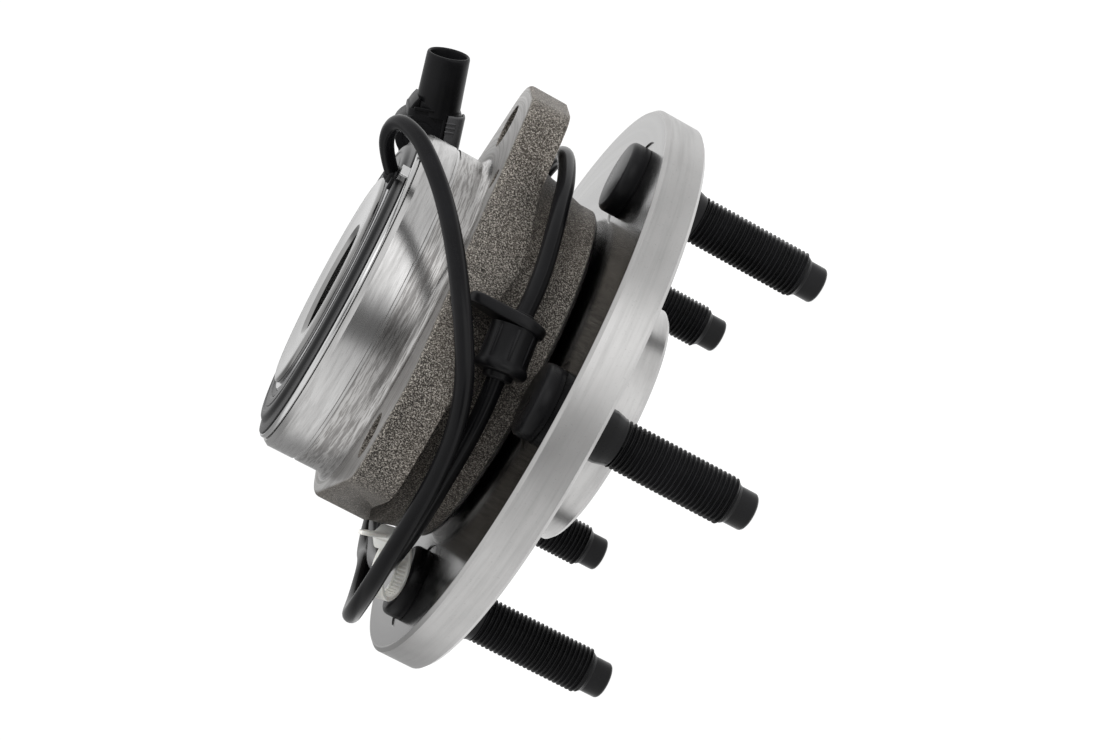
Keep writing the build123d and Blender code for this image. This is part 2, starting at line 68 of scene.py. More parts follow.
def link(name, mesh, mat=None, sharp=35):
    o = bpy.data.objects.new(name, mesh)
    bpy.context.scene.collection.objects.link(o)
    for p in mesh.polygons:
        p.use_smooth = True
    if sharp:
        mesh.set_sharp_from_angle(angle=math.radians(sharp))
    if mat:
        mesh.materials.clear()
        mesh.materials.append(getattr(mat, "m", mat))
    return o


def from_bm(name, bm, mat=None, sharp=35, merge=1e-6):
    if merge:
        bmesh.ops.remove_doubles(bm, verts=bm.verts, dist=merge)
    bmesh.ops.recalc_face_normals(bm, faces=bm.faces)
    me = bpy.data.meshes.new(name)
    bm.to_mesh(me)
    bm.free()
    return link(name, me, mat, sharp)


def frame_matrix(origin, x_dir, z_dir):
    """Local frame in metres from a point in millimetres and two directions."""
    z = Vector(z_dir).normalized()
    x = Vector(x_dir)
    x = (x - z * x.dot(z)).normalized()
    y = z.cross(x)
    return Matrix(((x.x, y.x, z.x, origin[0] * MM), (x.y, y.y, z.y, origin[1] * MM), (x.z, y.z, z.z, origin[2] * MM), (0, 0, 0, 1)))


def arc(c, r, a0, a1, n):
    return [(c[0] + r * math.cos(math.radians(a0 + (a1 - a0) * k / n)), c[1] + r * math.sin(math.radians(a0 + (a1 - a0) * k / n))) for k in range(n + 1)]


def add_revolve(bm, profile, seg=96, m=None, closed=True, wobble=None):
    """Profile of (r, z) in mm turned about the local Z axis."""
    rings = []
    for r, z in profile:
        if abs(r) < 1e-9:
            p = Vector((0, 0, z * MM))
            v = bm.verts.new(m @ p if m else p)
            rings.append([v] * seg)
            continue
        row = []
        for k in range(seg):
            a = 2 * math.pi * k / seg
            rr = r if wobble is None else r + wobble(a, z)
            p = Vector((rr * math.cos(a) * MM, rr * math.sin(a) * MM, z * MM))
            row.append(bm.verts.new(m @ p if m else p))
        rings.append(row)
    n = len(rings)
    last = n if closed else n - 1
    for i in range(last):
        a, b = rings[i], rings[(i + 1) % n]
        for k in range(seg):
            q = [a[k], a[(k + 1) % seg], b[(k + 1) % seg], b[k]]
            u = []
            for v in q:
                if v not in u:
                    u.append(v)
            if len(u) >= 3:
                bm.faces.new(u)


def offset_outline(pts, d):
    """Moves each point of a convex outline inwards by d, along the mean of its two edge normals."""
    out = []
    n = len(pts)
    for i in range(n):
        a, b, c = Vector(pts[i - 1]), Vector(pts[i]), Vector(pts[(i + 1) % n])
        e0, e1 = (b - a), (c - b)
        if e0.length < 1e-9 or e1.length < 1e-9:
            out.append(tuple(b))
            continue
        n0 = Vector((-e0.y, e0.x)).normalized()
        n1 = Vector((-e1.y, e1.x)).normalized()
        nn = (n0 + n1).normalized()
        out.append(tuple(b + nn * d / max(0.5, nn.dot(n0))))
    return out


def add_prism(bm, outline, z0, z1, m, rnd=0.5, steps=4, rnd0=None):
    """A counter-clockwise outline in mm, extruded along local Z, with rounded rims."""
    rnd0 = rnd if rnd0 is None else rnd0
    levels = []
    if rnd0 > 0:
        for k in range(steps + 1):
            a = math.radians(90 * k / steps)
            levels.append((rnd0 * (1 - math.sin(a)), z0 + rnd0 * (1 - math.cos(a))))
    else:
        levels.append((0, z0))
    if rnd > 0:
        for k in range(steps + 1):
            a = math.radians(90 * k / steps)
            levels.append((rnd * (1 - math.cos(a)), z1 - rnd * (1 - math.sin(a))))
    else:
        levels.append((0, z1))
    rows = []
    for d, z in levels:
        o = offset_outline(outline, d) if d > 1e-6 else outline
        rows.append([bm.verts.new(m @ Vector((p[0] * MM, p[1] * MM, z * MM))) for p in o])
    n = len(outline)
    for a, b in zip(rows, rows[1:]):
        for k in range(n):
            bm.faces.new((a[k], a[(k + 1) % n], b[(k + 1) % n], b[k]))
    bm.faces.new(list(reversed(rows[0])))
    bm.faces.new(rows[-1])


def rrect(w, h, r, cx=0.0, cy=0.0, n=5):
    """Rounded rectangle, counter-clockwise."""
    out = []
    for sx, sy, a0 in ((1, 1, 0), (-1, 1, 90), (-1, -1, 180), (1, -1, 270)):
        for x, y in arc((cx + sx * (w / 2 - r), cy + sy * (h / 2 - r)), r, a0, a0 + 90, n):
            if not out or math.hypot(out[-1][0] - x, out[-1][1] - y) > 1e-4:
                out.append((x, y))
    return out


def hull_circles(c0, r0, c1, r1, n=18):
    """Outline round two circles on the local X axis (c1 beyond c0)."""
    d = c1 - c0
    t = math.degrees(math.asin((r0 - r1) / d))
    return arc((c0, 0), r0, 90 - t, 270 + t, n + 6) + arc((c1, 0), r1, -90 + t, 90 - t, n)


def soft_copy(node, name, mat, sharp=30):
    """The node's own mesh, welded and smoothly shaded."""
    me = N[node].data.copy()
    me.name = name
    bm = bmesh.new()
    bm.from_mesh(me)
    bmesh.ops.remove_doubles(bm, verts=bm.verts, dist=2e-6)
    bm.to_mesh(me)
    bm.free()
    if me.has_custom_normals:
        me.normals_split_custom_set([(0, 0, 0)] * len(me.loops))
    o = link(name, me, mat, sharp)
    # turned faces shade as true surfaces of revolution, whatever triangles they are cut into
    me.update()
    vs = [tuple(v.co) for v in me.vertices]
    turned, at = {}, [[] for _ in vs]
    for f in me.polygons:
        c, n = f.center, f.normal
        r = math.hypot(c.x, c.y)
        if r < 1e-6:
            continue
        if abs((n.y * c.x - n.x * c.y) / r) < 0.03:
            q = ((n.x * c.x + n.y * c.y) / r, n.z)
            turned[f.index] = q
            for i in f.vertices:
                if all(abs(q[0] - t[0]) + abs(q[1] - t[1]) > 0.03 for t in at[i]):
                    at[i].append(q)
    normals = [tuple(n.vector) for n in me.corner_normals]
    for f in me.polygons:
        q = turned.get(f.index)
        if q is None:
            continue
        flat = abs(q[1]) < 0.02 or abs(q[1]) > 0.999
        for li in f.loop_indices:
            i = me.loops[li].vertex_index
            x, y, _ = vs[i]
            r = math.hypot(x, y)
            if r < 1e-6:
                continue
            a, b = q
            if not flat:
                near = [t for t in at[i] if t[0] * q[0] + t[1] * q[1] > 0.88]
                a, b = sum(t[0] for t in near) + 1e-9, sum(t[1] for t in near)
                k = math.hypot(a, b)
                a, b = a / k, b / k
            normals[li] = (a * x / r, a * y / r, b)
    me.normals_split_custom_set(normals)
    return o


# ---------------------------------------------------------------- materials


class Mat:
    """Node-tree shorthand: every look is procedural, in object coordinates."""

    def __init__(self, name):
        self.m = bpy.data.materials.new(name)
        self.m.use_nodes = True
        self.t = self.m.node_tree
        self.t.nodes.clear()
        self.out = self.t.nodes.new("ShaderNodeOutputMaterial")
        self.b = self.t.nodes.new("ShaderNodeBsdfPrincipled")
        self.t.links.new(self.b.outputs[0], self.out.inputs[0])
        self.co = self.t.nodes.new("ShaderNodeTexCoord").outputs["Object"]

    def link(self, a, b):
        self.t.links.new(a, b)

    def set(self, **kw):
        for k, v in kw.items():
            self.b.inputs[k.replace("_", " ")].default_value = v
        return self

    def math(self, op, a, b=None, c=None, clamp=False):
        n = self.t.nodes.new("ShaderNodeMath")
        n.operation = op
        n.use_clamp = clamp
        for i, v in enumerate((a, b, c)):
            if v is None:
                continue
            if isinstance(v, (int, float)):
                n.inputs[i].default_value = v
            else:
                self.link(v, n.inputs[i])
        return n.outputs[0]

    def xyz(self, vec=None):
        n = self.t.nodes.new("ShaderNodeSeparateXYZ")
        self.link(vec or self.co, n.inputs[0])
        return n.outputs

    def vec(self, x, y, z):
        n = self.t.nodes.new("ShaderNodeCombineXYZ")
        for i, v in enumerate((x, y, z)):
            if isinstance(v, (int, float)):
                n.inputs[i].default_value = v
            else:
                self.link(v, n.inputs[i])
        return n.outputs[0]

    def noise(self, scale, detail=4, rough=0.55, vec=None, dist=0.0, out=0):
        n = self.t.nodes.new("ShaderNodeTexNoise")
        n.inputs["Scale"].default_value = scale
        n.inputs["Detail"].default_value = detail
        n.inputs["Roughness"].default_value = rough
        n.inputs["Distortion"].default_value = dist
        self.link(vec or self.co, n.inputs["Vector"])
        return n.outputs[out]

    def voronoi(self, scale, vec=None, feature="F1", rnd=1.0, smooth=0.4):
        n = self.t.nodes.new("ShaderNodeTexVoronoi")
        n.feature = feature
        n.inputs["Scale"].default_value = scale
        n.inputs["Randomness"].default_value = rnd
        if feature == "SMOOTH_F1":
            n.inputs["Smoothness"].default_value = smooth
        self.link(vec or self.co, n.inputs["Vector"])
        return n.outputs["Distance"]

    def ramp(self, fac, stops, interp="LINEAR"):
        n = self.t.nodes.new("ShaderNodeValToRGB")
        cr = n.color_ramp
        cr.interpolation = interp
        while len(cr.elements) < len(stops):
            cr.elements.new(0.5)
        for e, (p, c) in zip(cr.elements, stops):
            e.position = p
            e.color = (c, c, c, 1) if isinstance(c, (int, float)) else (*c, 1)
        self.link(fac, n.inputs[0])
        return n.outputs[0]

    def mix(self, fac, a, b, mode="MIX"):
        n = self.t.nodes.new("ShaderNodeMix")
        n.data_type = "RGBA"
        n.blend_type = mode
        for i, v in ((0, fac), (6, a), (7, b)):
            if isinstance(v, (int, float)):
                n.inputs[i].default_value = v if i == 0 else (v, v, v, 1)
            elif isinstance(v, tuple):
                n.inputs[i].default_value = (*v, 1)
            else:
                self.link(v, n.inputs[i])
        return n.outputs[2]

    def bump(self, height, strength, dist, prev=None):
        n = self.t.nodes.new("ShaderNodeBump")
        n.inputs["Strength"].default_value = strength
        n.inputs["Distance"].default_value = dist
        self.link(height, n.inputs["Height"])
        if prev:
            self.link(prev, n.inputs["Normal"])
        return n.outputs[0]

    def cyl(self, kr=1.0, ka=0.01, kz=1.0):
        """Coordinates for turned surfaces: radius and height fine, angle slow. Metres in."""
        x, y, z = self.xyz()
        r = self.math("SQRT", self.math("ADD", self.math("MULTIPLY", x, x), self.math("MULTIPLY", y, y)))
        n = self.t.nodes.new("ShaderNodeVectorMath")
        n.operation = "NORMALIZE"
        self.link(self.vec(x, y, 0.0), n.inputs[0])
        nx, ny, _ = self.xyz(n.outputs[0])
        # the unit circle keeps the pattern seamless round the axis
        v = self.vec(self.math("ADD", self.math("MULTIPLY", nx, ka), self.math("MULTIPLY", r, kr)), self.math("MULTIPLY", ny, ka), self.math("MULTIPLY", z, kz))
        return v, r, z


def m_turned(name, base=(0.58, 0.57, 0.56), rough=0.26, lines=0.35, streak=0.30, back=None):
    """Turned and ground steel: fine circumferential tool marks, grind streaks, smears of oil, a few scratches; with
    back, painted shade on the face towards the bearing.
    """
    m = Mat(name)
    v, r, z = m.cyl(1.0, 0.0035, 1.0)
    fine = m.noise(2600, 3, 0.6, v)
    mid = m.noise(560, 4, 0.65, v)
    wide = m.noise(150, 3, 0.6, v)
    smear = m.noise(34, 5, 0.6)
    fleck = m.noise(1900, 2, 0.6)
    col = m.mix(m.ramp(smear, [(0.35, 0.0), (0.7, 1.0)]), tuple(c * 0.90 for c in base), tuple(min(1, c * 1.07) for c in base))
    col = m.mix(m.ramp(mid, [(0.45, 0.0), (0.70, streak)]), col, tuple(c * 0.52 for c in base))
    col = m.mix(m.ramp(wide, [(0.50, 0.0), (0.72, streak)]), col, tuple(min(1, c * 1.25) for c in base))
    col = m.mix(m.ramp(fleck, [(0.64, 0.0), (0.72, 0.35)]), col, tuple(c * 0.5 for c in base))
    rg = m.math("ADD", m.math("ADD", m.math("MULTIPLY", mid, 0.12), m.math("MULTIPLY", smear, 0.10)), rough - 0.11)
    if back:
        # the face towards the bearing is turned finer, and its colour is darkened as painted shade for the dark
        # reflection it shows
        z0, r0, dark, gloss = back
        painted_shade_mask = m.math("MULTIPLY", m.ramp(m.math("MULTIPLY", z, 10.0), [(z0 * 10 - 0.003, 0.0), (z0 * 10, 1.0)]), m.ramp(m.math("MULTIPLY", r, 10.0), [(r0 * 10 - 0.004, 1.0), (r0 * 10, 0.0)]))
        col = m.mix(painted_shade_mask, col, m.mix(m.ramp(wide, [(0.40, 0.0), (0.65, 1.0)]), tuple(c * dark * 0.8 for c in base), tuple(c * dark for c in base)))
        rg = m.math("MULTIPLY", rg, m.math("SUBTRACT", 1.0, m.math("MULTIPLY", painted_shade_mask, gloss)))
    m.link(col, m.b.inputs["Base Color"])
    m.set(Metallic=1.0)
    m.link(rg, m.b.inputs["Roughness"])
    b = m.bump(fine, 0.20 * lines / 0.35, 0.00001)
    b = m.bump(mid, 0.10 * lines / 0.35, 0.00001, b)
    b = m.bump(fleck, 0.08, 0.00002, b)
    m.link(b, m.b.inputs["Normal"])
    return m


def m_ring():
    """Forged blank with its rough skin, and the turned pilot and face above z 49.45 mm."""
    m = Mat("ring_casting")
    v, r, z = m.cyl(1.0, 0.006, 1.0)
    # rough skin
    grain = m.noise(2300, 3, 0.7)
    pits = m.voronoi(950, None, "SMOOTH_F1")
    big = m.noise(60, 5, 0.6)
    stain = m.noise(18, 4, 0.6, None, 0.6)
    speck = m.noise(2600, 2, 0.6)
    skin = m.mix(m.ramp(big, [(0.3, 0.0), (0.75, 1.0)]), (0.030, 0.026, 0.022), (0.095, 0.085, 0.074))
    skin = m.mix(m.ramp(stain, [(0.45, 0.0), (0.75, 0.6)]), skin, (0.052, 0.038, 0.026))
    skin = m.mix(m.ramp(grain, [(0.52, 0.0), (0.62, 1.0)]), skin, (0.34, 0.315, 0.28))
    skin = m.mix(m.ramp(grain, [(0.36, 1.0), (0.48, 0.0)]), skin, (0.004, 0.0035, 0.003))
    skin = m.mix(m.ramp(speck, [(0.60, 0.0), (0.68, 0.8)]), skin, (0.48, 0.45, 0.41))
    # turned
    v, r, z = m.cyl(1.0, 0.0035, 1.0)
    fine = m.noise(2600, 3, 0.6, v)
    mid = m.noise(620, 4, 0.65, v)
    bright = m.mix(m.ramp(mid, [(0.44, 0.0), (0.70, 0.55)]), (0.62, 0.615, 0.61), (0.30, 0.295, 0.29))
    bright = m.mix(m.ramp(fine, [(0.55, 0.0), (0.75, 0.35)]), bright, (0.25, 0.245, 0.24))
    duller = m.ramp(m.math("MULTIPLY", z, 10.0), [(0.590, 1.0), (0.593, 0.0)])
    streaks = m.mix(m.ramp(fine, [(0.46, 0.0), (0.60, 1.0)]), (0.52, 0.51, 0.50), (0.20, 0.19, 0.18))
    streaks = m.mix(m.ramp(mid, [(0.52, 0.0), (0.62, 0.8)]), streaks, (0.16, 0.15, 0.145))
    bright = m.mix(m.math("MULTIPLY", duller, 0.75), bright, streaks)
    mask = m.ramp(m.math("MULTIPLY", z, 10.0), [(0.4925, 0.0), (0.4940, 1.0)])
    low = m.ramp(m.math("MULTIPLY", z, 10.0), [(0.1585, 1.0), (0.1600, 0.0)])
    mask = m.math("MAXIMUM", mask, low)
    inner = m.ramp(m.math("MULTIPLY", r, 10.0), [(0.468, 1.0), (0.470, 0.0)])
    mask = m.math("MAXIMUM", mask, inner)
    m.link(m.mix(mask, skin, bright), m.b.inputs["Base Color"])
    m.link(m.math("ADD", m.math("MULTIPLY", mask, 0.45), 0.55), m.b.inputs["Metallic"])
    rs = m.math("ADD", m.math("MULTIPLY", grain, 0.25), 0.36)
    rt = m.math("ADD", m.math("MULTIPLY", mid, 0.14), 0.17)
    m.link(m.math("ADD", m.math("MULTIPLY", m.math("SUBTRACT", 1.0, mask), rs), m.math("MULTIPLY", mask, rt)), m.b.inputs["Roughness"])
    inv = m.math("SUBTRACT", 1.0, mask)
    h = m.math("ADD", m.math("MULTIPLY", grain, 0.7), m.math("MULTIPLY", pits, 0.6))
    b = m.bump(m.math("MULTIPLY", h, inv), 1.0, 0.00026)
    b = m.bump(m.math("MULTIPLY", big, inv), 0.5, 0.0006, b)
    b = m.bump(m.math("MULTIPLY", fine, mask), 0.12, 0.00001, b)
    b = m.bump(m.math("MULTIPLY", mid, mask), 0.06, 0.00001, b)
    m.link(b, m.b.inputs["Normal"])
    return m


def m_plain(name, base, rough, bump_scale=900, bump=0.25, dist=0.00003, metallic=0.0, spread=0.12, vary=0.25, spec=0.5, **kw):
    """Moulded or rubber surface with fine texture, handling marks and uneven gloss."""
    m = Mat(name)
    n1 = m.noise(bump_scale, 3, 0.6)
    n2 = m.noise(55, 5, 0.6)
    dark = tuple(c * (1 - vary) for c in base)
    lite = tuple(min(1.0, c * (1 + vary)) for c in base)
    m.link(m.mix(m.ramp(n2, [(0.3, 0.0), (0.72, 1.0)]), dark, lite), m.b.inputs["Base Color"])
    m.link(m.math("ADD", m.math("MULTIPLY", n2, spread), rough - spread / 2), m.b.inputs["Roughness"])
    m.link(m.bump(n1, bump, dist), m.b.inputs["Normal"])
    m.set(Metallic=metallic, **kw)
    m.b.inputs["Specular IOR Level"].default_value = spec
    return m


# the hub's inboard face (z above 12.4 mm, r inside 89.5 mm) gets painted shade: colour times 0.72, roughness lowered
hub_steel = m_turned("hub_steel", (0.50, 0.495, 0.49), 0.32, back=(0.0124, 0.0895, 0.72, 0.55))
bearing_steel = m_turned("bearing_steel", (0.66, 0.66, 0.67), 0.18, 0.15, 0.1)
cap_steel = m_turned("cap_steel", (0.72, 0.72, 0.72), 0.20, 0.12, 0.15)
seal_steel = m_turned("seal_case_steel", (0.45, 0.45, 0.45), 0.32)
tone_steel = m_turned("tone_steel", (0.40, 0.40, 0.41), 0.4)
tab_steel = m_turned("tab_steel", (0.80, 0.80, 0.80), 0.2, 0.1, 0.1)
ring_casting = m_ring()
stud_black = m_plain("stud_black", (0.006, 0.006, 0.0065), 0.28, 1400, 0.25, 0.00003, 0.0, 0.16, 0.4, spec=0.15)
lead_sheath = m_plain("lead_sheath", (0.004, 0.004, 0.0045), 0.22, 1100, 0.10, 0.00002, 0.0, 0.08, 0.3, spec=0.14)
seal_rubber = m_plain("seal_rubber", (0.004, 0.004, 0.0045), 0.34, 900, 0.25, 0.00004, 0.0, 0.12, 0.3, spec=0.18)
sensor_moulding = m_plain("sensor_moulding", (0.004, 0.004, 0.0045), 0.30, 1200, 0.25, 0.00003, 0.0, 0.12, 0.3, spec=0.18)
connector_plastic = m_plain("connector_plastic", (0.005, 0.005, 0.0055), 0.32, 1300, 0.25, 0.00003, 0.0, 0.12, 0.3, spec=0.11)
lock_plastic = m_plain("lock_plastic", (0.045, 0.045, 0.047), 0.42, 1300, 0.3, 0.00003, 0.0, 0.12, 0.2, spec=0.4)
cage_nylon = m_plain("cage_nylon", (0.55, 0.45, 0.25), 0.45)
copper_coil = m_plain("copper_coil", (0.55, 0.25, 0.12), 0.3, 900, 0.3, 0.00003, 1.0)
terminal_tin = m_plain("terminal_tin", (0.7, 0.69, 0.66), 0.25, 900, 0.1, 0.00002, 1.0)
tie_nylon = m_plain("tie_nylon", (0.74, 0.73, 0.69), 0.35, 700, 0.25, 0.00004, 0.0, 0.1, 0.08, Subsurface_Weight=0.35, Subsurface_Scale=0.003)
tie_nylon.b.inputs["Subsurface Radius"].default_value = (1.0, 0.9, 0.8)
tie_nylon.set(Transmission_Weight=0.18, IOR=1.45)

# ---------------------------------------------------------------- sensor lead (the route's corners, metres)
route = [
    (0.0219, 0.0358, 0.0747), (0.0241, 0.0391, 0.0783), (0.0313, 0.0447, 0.0823), (0.0401, 0.0497, 0.0817),
    (0.0491, 0.0479, 0.0754), (0.0551, 0.0428, 0.0692), (0.06, 0.0357, 0.0619), (0.066, 0.0259, 0.0542),
    (0.0735, 0.0144, 0.047), (0.077, 0.0033, 0.0403), (0.078, -0.007, 0.0352), (0.076, -0.0193, 0.0316),
    (0.072, -0.0337, 0.0301), (0.0685, -0.0455, 0.03), (0.065, -0.0572, 0.0302), (0.0595, -0.0673, 0.0299),
    (0.0475, -0.0766, 0.0288), (0.03, -0.0813, 0.0264), (0.013, -0.0786, 0.0245), (0.001, -0.0696, 0.0251),
    (-0.019, -0.07, 0.0243), (-0.04, -0.0605, 0.0246), (-0.06, -0.041, 0.025), (-0.071, -0.014, 0.0256),
    (-0.069, 0.017, 0.0266), (-0.053, 0.046, 0.0285), (-0.0277, 0.0614, 0.0296), (0.0003, 0.0672, 0.0311),
    (0.0242, 0.0585, 0.0301), (0.037, 0.0499, 0.0299), (0.0475, 0.0407, 0.0292), (0.0555, 0.0308, 0.0283),
    (0.062, 0.0215, 0.0284), (0.066, 0.0131, 0.0292), (0.0676, 0.007, 0.0289), (0.068, 0.0014, 0.0281),
    (0.0675, -0.0067, 0.027), (0.066, -0.0176, 0.0264), (0.062, -0.0292, 0.0262), (0.057, -0.0409, 0.0259),
    (0.0507, -0.0511, 0.0256), (0.0369, -0.0642, 0.0255), (0.018, -0.0658, 0.0257), (-0.002, -0.064, 0.0246),
    (-0.022, -0.06, 0.025), (-0.041, -0.0495, 0.0257), (-0.056, -0.031, 0.0275), (-0.0645, -0.009, 0.032),
    (-0.066, 0.012, 0.041), (-0.06, 0.0275, 0.0506), (-0.047604, 0.037579, 0.059548), (-0.04458, 0.046651, 0.062471),
]
curve = bpy.data.curves.new("lead", "CURVE")
curve.dimensions = "3D"
curve.resolution_u = 14
curve.bevel_depth = 0.00265
curve.bevel_resolution = 7
curve.use_fill_caps = True
sp = curve.splines.new("NURBS")
sp.points.add(len(route) - 1)
for p, c in zip(sp.points, route):
    p.co = (*c, 1.0)
# a little thinner over its first loop
for p, r in zip(sp.points, (0.80, 0.80, 0.84, 0.86, 0.90, 0.94, 0.97)):
    p.radius = r
sp.order_u = 3
sp.use_endpoint_u = True
lead = bpy.data.objects.new("lead", curve)
bpy.context.scene.collection.objects.link(lead)
curve.materials.append(lead_sheath.m)
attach(lead, "housing")
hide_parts("sensor_lead")

# ---------------------------------------------------------------- grommet
g_m = frame_matrix((68.3, 2.9, 28.3), (0.0156, -0.091, 0.9957), (-0.168, 0.9815, 0.0923))
bm = bmesh.new()
add_revolve(bm, [(2.4, -3.2), (3.7, -3.2), (4.2, -2.8), (4.3, -2.2), (4.35, -1.5), (5.0, -1.3), (6.6, -1.3), (7.2, -1.0), (7.55, -0.3), (7.6, 0.1), (7.5, 0.8), (7.2, 1.3), (6.95, 1.7),
                 (6.75, 2.4), (6.6, 4.0), (6.6, 8.0), (6.75, 10.4), (7.1, 11.6), (2.4, 11.8)], 64, g_m)
tilt_m = frame_matrix((66.27, 14.4, 29.35), (-0.0061, 0.0363, 0.9993), (-0.1686, 0.985, -0.0368))
oval = hull_circles(0.0, 7.8, 10.2, 5.2, 22)
add_prism(bm, oval, 0.0, 3.4, tilt_m, 1.2, 5, 0.8)
add_revolve(bm, [(2.4, 12.6), (4.6, 12.6), (4.5, 14.6), (4.15, 15.0), (4.0, 15.7), (3.6, 16.1), (2.4, 16.1)], 48, g_m)
# moulded ribs round the waist
for k in range(8):
    a = 2 * math.pi * k / 8
    rm = g_m @ Matrix.Rotation(a, 4, "Z") @ Matrix.Translation((6.45 * MM, 0, 0))
    add_prism(bm, rrect(0.9, 1.0, 0.3), 1.6, 11.2, rm, 0.25, 2)
grommet = from_bm("lead_grommet_rubber", bm, seal_rubber, 40, 0)
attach(grommet, "housing")
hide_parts("lead_grommet")

# ---------------------------------------------------------------- connector
c_m = frame_matrix((-43.37, 50.28, 63.64), (-0.0477, 0.3209, -0.9459), (0.3024, 0.9072, 0.2923))
bm = bmesh.new()
# barrel with rolled lip and stepped socket, a shade narrower at its mouth
add_revolve(bm, [(0.0, 16.0), (5.2, 16.0), (5.2, 22.8), (5.7, 22.8), (5.7, 29.6), (5.85, 30.05), (6.1, 30.25), (6.4, 30.25), (6.65, 30.0), (6.8, 29.5), (6.84, 28.4), (7.18, 12.0), (7.2, 11.0), (0.0, 11.0)], 72, c_m, False)
# rear housing: a block with the round boss of its lock across it
add_prism(bm, rrect(17.3, 12.9, 2.6, -0.85), -4.0, 12.6, c_m, 0.8, 4, 1.2)
add_prism(bm, rrect(14.8, 12.0, 5.0, -0.6), 12.4, 15.0, c_m, 0.9, 4, 0.2)


def side_frame(a0, y0, s0):
    """Looking at the housing's near side: x towards the mouth's left flank, y towards the mouth, z outwards."""
    return c_m @ Matrix(((1, 0, 0, a0 * MM), (0, 0, -1, -y0 * MM), (0, 1, 0, s0 * MM), (0, 0, 0, 1)))


b_m = side_frame(-4.8, 0.0, 4.0)
add_revolve(bm, [(0, -6.6), (6.9, -6.6), (7.25, -6.45), (7.4, -6.1), (7.4, 6.1), (7.25, 6.45), (6.9, 6.6), (5.3, 6.6), (5.1, 6.35), (4.7, 6.35), (4.5, 6.6), (0, 6.6)], 56, b_m, False)
# slanted shoulder from the block up to the barrel, on the boss side
add_prism(bm, [(-9.3, 9.4), (-6.4, 9.4), (-6.4, 15.9), (-7.1, 16.0), (-8.2, 14.2), (-9.1, 12.2), (-9.3, 11.2)][::1], -5.2, 5.2, c_m @ Matrix(((1, 0, 0, 0), (0, 0, -1, 0), (0, 1, 0, 0), (0, 0, 0, 1))), 0.5, 3)
# rib and slot beside the lock
add_prism(bm, rrect(1.1, 12.6, 0.5), 0.0, 0.55, side_frame(2.1, 6.3, 6.6), 0.3, 3, 0)
add_prism(bm, rrect(6.6, 1.0, 0.45), 0.0, 0.5, side_frame(-4.8, 6.5, 13.0), 0.25, 3, 0)
add_prism(bm, rrect(2.4, 2.0, 0.6), 0.0, 0.35, side_frame(-4.8, 6.5, 4.2), 0.2, 3, 0)
for k in range(3):
    add_prism(bm, rrect(9.0, 0.7, 0.3), 0.0, 0.45, c_m @ Matrix(((0, 0, 1, 7.7 * MM), (1, 0, 0, 0), (0, 1, 0, (1.5 + 3.2 * k) * MM), (0, 0, 0, 1))), 0.2, 2, 0)
conn_body = from_bm("plug_housing", bm, connector_plastic, 38, 0)
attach(conn_body, "housing")
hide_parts("connector_body")

bm = bmesh.new()
# slide bent round the housing's corner: its two flanks and the round between them
outer = [(2.9, -7.3)] + [(3.6 + 0.0, -7.35), (5.1, -7.35)] + [(5.15 + 3.45 * math.cos(math.radians(q)), -3.85 + 3.5 * math.sin(math.radians(q))) for q in range(-84, 1, 12)] + [(8.65, -2.2), (8.55, -1.7)]
inner = [(7.8, -1.7), (7.8, -3.85)] + [(5.2 + 2.6 * math.cos(math.radians(q)), -3.85 + 2.6 * math.sin(math.radians(q))) for q in range(-12, -91, -12)] + [(2.9, -6.45)]
band = outer + inner
lo_row = [bm.verts.new(c_m @ Vector((x * MM, y * MM, 1.0 * MM))) for x, y in band]
mid = (4.4, -4.2)
rows = []
for z, d in ((1.0, 0.25), (1.25, 0.06), (1.6, 0.0), (11.9, 0.0), (12.25, 0.06), (12.5, 0.25)):
    row = []
    for x, y in band:
        q = Vector((mid[0] - x, mid[1] - y)).normalized() if (x, y) in outer else Vector((0, 0))
        row.append(bm.verts.new(c_m @ Vector(((x + q.x * d) * MM, (y + q.y * d) * MM, z * MM))))
    rows.append(row)
bmesh.ops.delete(bm, geom=lo_row, context="VERTS")
for r0, r1 in zip(rows, rows[1:]):
    for k in range(len(band)):
        bm.faces.new((r0[k], r0[(k + 1) % len(band)], r1[(k + 1) % len(band)], r1[k]))
no, ni = len(outer), len(inner)
for r in (rows[0], rows[-1]):
    o_, i_ = r[:no], r[no:][::-1]
    # quads across the thickness, stepping along whichever side is behind
    i = j = 0
    while i < no - 1 or j < ni - 1:
        fi, fj = i / (no - 1), j / (ni - 1)
        if i < no - 1 and (fi <= fj or j == ni - 1):
            bm.faces.new((o_[i], o_[i + 1], i_[j]))
            i += 1
        else:
            bm.faces.new((o_[i], i_[j + 1], i_[j]))
            j += 1
# finger grip on its near flank
for k in range(3):
    add_prism(bm, rrect(3.0, 0.55, 0.25), 0.0, 0.3, side_frame(4.1, 7.3, 7.4 + 1.4 * k), 0.15, 2, 0)
lock = from_bm("plug_lock", bm, lock_plastic, 38, 0)
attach(lock, "housing")
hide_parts("connector_lock")

bm = bmesh.new()
add_revolve(bm, [(2.4, -8.6), (3.6, -8.6), (4.0, -8.3), (4.05, -7.6), (3.8, -7.3), (3.8, -6.9), (4.2, -6.6), (4.25, -5.9), (4.0, -5.6), (4.0, -5.2), (4.5, -4.9), (4.7, -4.3), (4.7, -3.6), (2.4, -3.6)], 48, c_m)
boot = from_bm("plug_boot", bm, seal_rubber, 50, 0)
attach(boot, "housing")
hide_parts("connector_boot")

bm = bmesh.new()
for y in (-1.9, 1.9):
    add_prism(bm, rrect(1.5, 0.7, 0.12, 0, y, 2), 16.0, 22.3, c_m, 0.3, 3)
blades = from_bm("plug_blades", bm, terminal_tin, 30, 0)
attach(blades, "housing")
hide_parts("connector_terminals")

